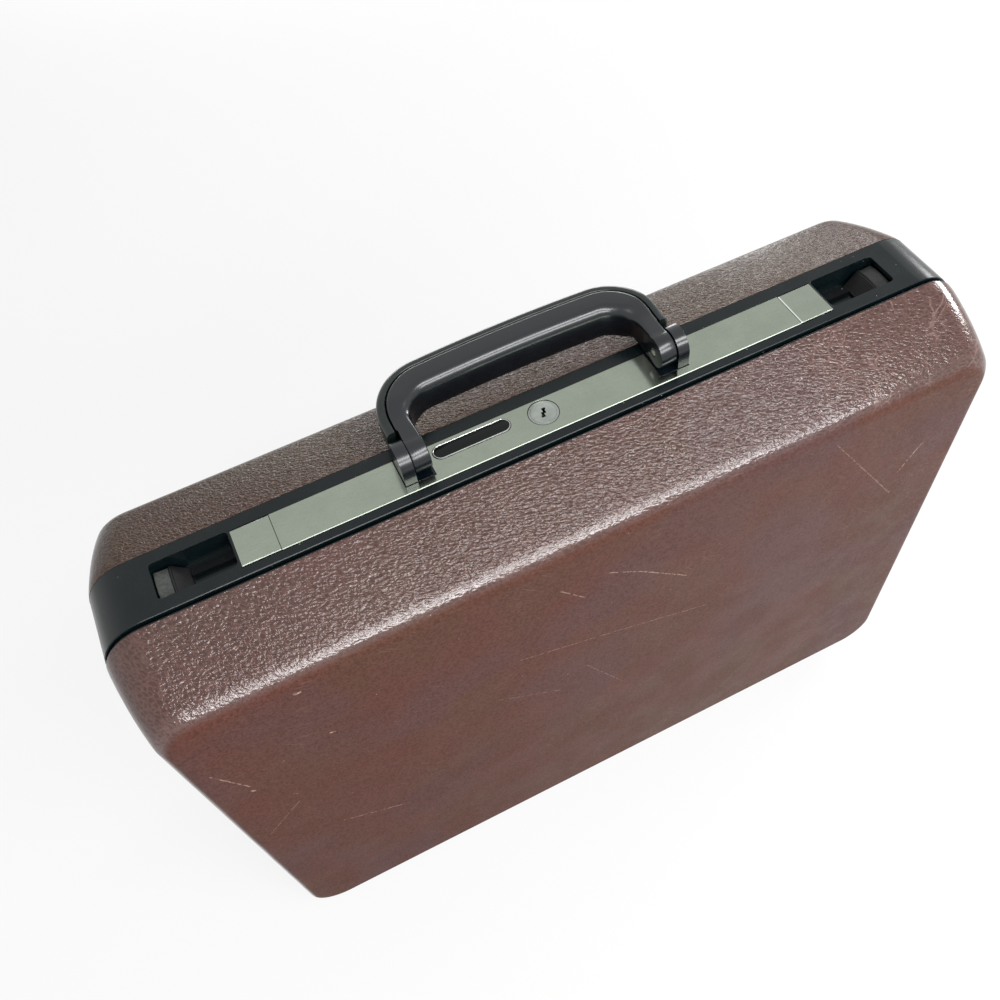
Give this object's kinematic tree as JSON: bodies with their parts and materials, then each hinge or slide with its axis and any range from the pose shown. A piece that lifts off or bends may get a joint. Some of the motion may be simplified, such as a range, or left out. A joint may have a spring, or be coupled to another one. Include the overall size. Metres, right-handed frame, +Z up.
{
  "type": "hardshell briefcase",
  "caption": "Hardshell briefcase with grained shells, a black lock rail, a metal plate with thumb latches and a folding handle.",
  "frame": {"origin": "on the ground under the middle of the case, which stands on its hinge edge", "axes": "+X along the lock rail, +Y from the lid half to the base half, +Z up from the hinge edge to the handle"},
  "size_m": [0.457, 0.128, 0.3545],
  "materials": {
    "back_shell": "leather-grained, burgundy brown",
    "base_lining": "tan cloth on board",
    "base_frame": "satin black",
    "lock_housing": "satin black",
    "housing_cover": "black, worn grey on top",
    "cover_screw_1": "bright",
    "cover_screw_2": "bright",
    "cover_screw_3": "bright",
    "cover_screw_4": "bright",
    "centre_plate": "satin, slightly green grey",
    "badge": "black enamel with a bright rim",
    "lock_barrel": "dull nickel",
    "front_shell": "leather-grained, burgundy brown",
    "lid_lining": "tan cloth on board",
    "lid_frame": "satin black",
    "file_pocket_gusset": "brown cloth on board",
    "file_pocket_panel": "brown cloth on board",
    "handle_grip": "glossy black",
    "handle_strip": "glossy black",
    "lock_cylinder": "dull nickel",
    "lock_cam": "bright",
    "left_handle_bracket": "glossy black",
    "left_handle_pin": "bright",
    "left_base_hinge_leaf": "bright",
    "left_hinge_pin": "bright",
    "left_base_foot": "matt black",
    "left_stay_base_mount": "bright",
    "left_spring": "bright",
    "left_lid_hinge_leaf": "bright",
    "left_lid_foot": "matt black",
    "left_keeper": "dull nickel",
    "left_stay_lid_mount": "bright",
    "left_button": "black, worn grey on top",
    "left_slide_bar": "bright",
    "left_hasp": "satin, slightly green grey",
    "left_lock_rod": "bright",
    "left_stay_base_link": "bright",
    "left_stay_lid_link": "bright",
    "right_handle_bracket": "glossy black",
    "right_handle_pin": "bright",
    "right_base_hinge_leaf": "bright",
    "right_hinge_pin": "bright",
    "right_base_foot": "matt black",
    "right_stay_base_mount": "bright",
    "right_spring": "bright",
    "right_lid_hinge_leaf": "bright",
    "right_lid_foot": "matt black",
    "right_keeper": "dull nickel",
    "right_stay_lid_mount": "bright",
    "right_button": "black, worn grey on top",
    "right_slide_bar": "bright",
    "right_hasp": "satin, slightly green grey",
    "right_lock_rod": "bright",
    "right_stay_base_link": "bright",
    "right_stay_lid_link": "bright"
  },
  "bodies": {
    "base": {"back_shell": "back_shell", "base_lining": "base_lining", "base_frame": "base_frame", "lock_housing": "lock_housing", "housing_cover": "housing_cover", "cover_screw_1": "cover_screw_1", "cover_screw_2": "cover_screw_2", "cover_screw_3": "cover_screw_3", "cover_screw_4": "cover_screw_4", "centre_plate": "centre_plate", "badge": "badge", "lock_barrel": "lock_barrel", "left_handle_bracket": "left_handle_bracket", "left_handle_pin": "left_handle_pin", "left_base_hinge_leaf": "left_base_hinge_leaf", "left_hinge_pin": "left_hinge_pin", "left_base_foot": "left_base_foot", "left_stay_base_mount": "left_stay_base_mount", "left_spring": "left_spring", "right_handle_bracket": "right_handle_bracket", "right_handle_pin": "right_handle_pin", "right_base_hinge_leaf": "right_base_hinge_leaf", "right_hinge_pin": "right_hinge_pin", "right_base_foot": "right_base_foot", "right_stay_base_mount": "right_stay_base_mount", "right_spring": "right_spring"},
    "lid": {"front_shell": "front_shell", "lid_lining": "lid_lining", "lid_frame": "lid_frame", "file_pocket_gusset": "file_pocket_gusset", "file_pocket_panel": "file_pocket_panel", "left_lid_hinge_leaf": "left_lid_hinge_leaf", "left_lid_foot": "left_lid_foot", "left_keeper": "left_keeper", "left_stay_lid_mount": "left_stay_lid_mount", "right_lid_hinge_leaf": "right_lid_hinge_leaf", "right_lid_foot": "right_lid_foot", "right_keeper": "right_keeper", "right_stay_lid_mount": "right_stay_lid_mount"},
    "handle": {"handle_grip": "handle_grip", "handle_strip": "handle_strip"},
    "lock_core": {"lock_cylinder": "lock_cylinder", "lock_cam": "lock_cam"},
    "left_thumb_button": {"left_button": "left_button", "left_slide_bar": "left_slide_bar"},
    "left_hasp": {"left_hasp": "left_hasp"},
    "left_rod": {"left_lock_rod": "left_lock_rod"},
    "left_base_link": {"left_stay_base_link": "left_stay_base_link"},
    "left_lid_link": {"left_stay_lid_link": "left_stay_lid_link"},
    "right_thumb_button": {"right_button": "right_button", "right_slide_bar": "right_slide_bar"},
    "right_hasp": {"right_hasp": "right_hasp"},
    "right_rod": {"right_lock_rod": "right_lock_rod"},
    "right_base_link": {"right_stay_base_link": "right_stay_base_link"},
    "right_lid_link": {"right_stay_lid_link": "right_stay_lid_link"}
  },
  "joints": [
    {"name": "lid_hinge", "type": "hinge", "parent": "base", "child": "lid", "pos_m": [0, -0.0169, 0.0022], "axis": [1, 0, 0], "range_deg": [0, 95]},
    {"name": "handle_fold", "type": "hinge", "parent": "base", "child": "handle", "pos_m": [0, 0.0025, 0.344], "axis": [1, 0, 0], "range_deg": [0, 170]},
    {"name": "lock_turn", "type": "hinge", "parent": "base", "child": "lock_core", "pos_m": [0, 0.0018, 0.3354], "axis": [0, 0, 1], "range_deg": [0, 90]},
    {"name": "left_button_slide", "type": "slide", "parent": "base", "child": "left_thumb_button", "axis": [-1, 0, 0], "range_m": [0, 0.0085], "stiffness_N_per_m": 250, "springref_m": -0.005},
    {"name": "left_hasp_flip", "type": "hinge", "parent": "base", "child": "left_hasp", "pos_m": [-0.14665, 0.0085, 0.334], "axis": [-1, 0, 0], "range_deg": [0, 35.5]},
    {"name": "left_rod_slide", "type": "slide", "parent": "base", "child": "left_rod", "axis": [-1, 0, 0], "range_m": [0, 0.00675]},
    {"name": "left_base_link_turn", "type": "hinge", "parent": "base", "child": "left_base_link", "pos_m": [-0.218, -0.0019, 0.08587], "axis": [1, 0, 0], "range_deg": [0, 95]},
    {"name": "left_lid_link_turn", "type": "hinge", "parent": "lid", "child": "left_lid_link", "pos_m": [-0.218, -0.0244, 0.08687], "axis": [1, 0, 0], "range_deg": [-95, 0]},
    {"name": "right_button_slide", "type": "slide", "parent": "base", "child": "right_thumb_button", "axis": [1, 0, 0], "range_m": [0, 0.0085], "stiffness_N_per_m": 250, "springref_m": -0.005},
    {"name": "right_hasp_flip", "type": "hinge", "parent": "base", "child": "right_hasp", "pos_m": [0.14665, 0.0085, 0.334], "axis": [-1, 0, 0], "range_deg": [0, 35.5]},
    {"name": "right_rod_slide", "type": "slide", "parent": "base", "child": "right_rod", "axis": [1, 0, 0], "range_m": [0, 0.00675]},
    {"name": "right_base_link_turn", "type": "hinge", "parent": "base", "child": "right_base_link", "pos_m": [0.218, -0.0019, 0.08587], "axis": [1, 0, 0], "range_deg": [0, 95]},
    {"name": "right_lid_link_turn", "type": "hinge", "parent": "lid", "child": "right_lid_link", "pos_m": [0.218, -0.0244, 0.08687], "axis": [1, 0, 0], "range_deg": [-95, 0]}
  ],
  "couplings": [
    {"joint": "left_hasp_flip", "follows": "left_button_slide", "rad_per_m": 71.866},
    {"joint": "left_base_link_turn", "follows": "lid_hinge", "ratio": 1},
    {"joint": "left_lid_link_turn", "follows": "lid_hinge", "ratio": -1},
    {"joint": "right_hasp_flip", "follows": "right_button_slide", "rad_per_m": 71.866},
    {"joint": "right_base_link_turn", "follows": "lid_hinge", "ratio": 1},
    {"joint": "right_lid_link_turn", "follows": "lid_hinge", "ratio": -1},
    {"joint": "lock_turn", "follows": "left_rod_slide", "rad_per_m": 232.5},
    {"joint": "right_rod_slide", "follows": "left_rod_slide", "ratio": 1}
  ]
}
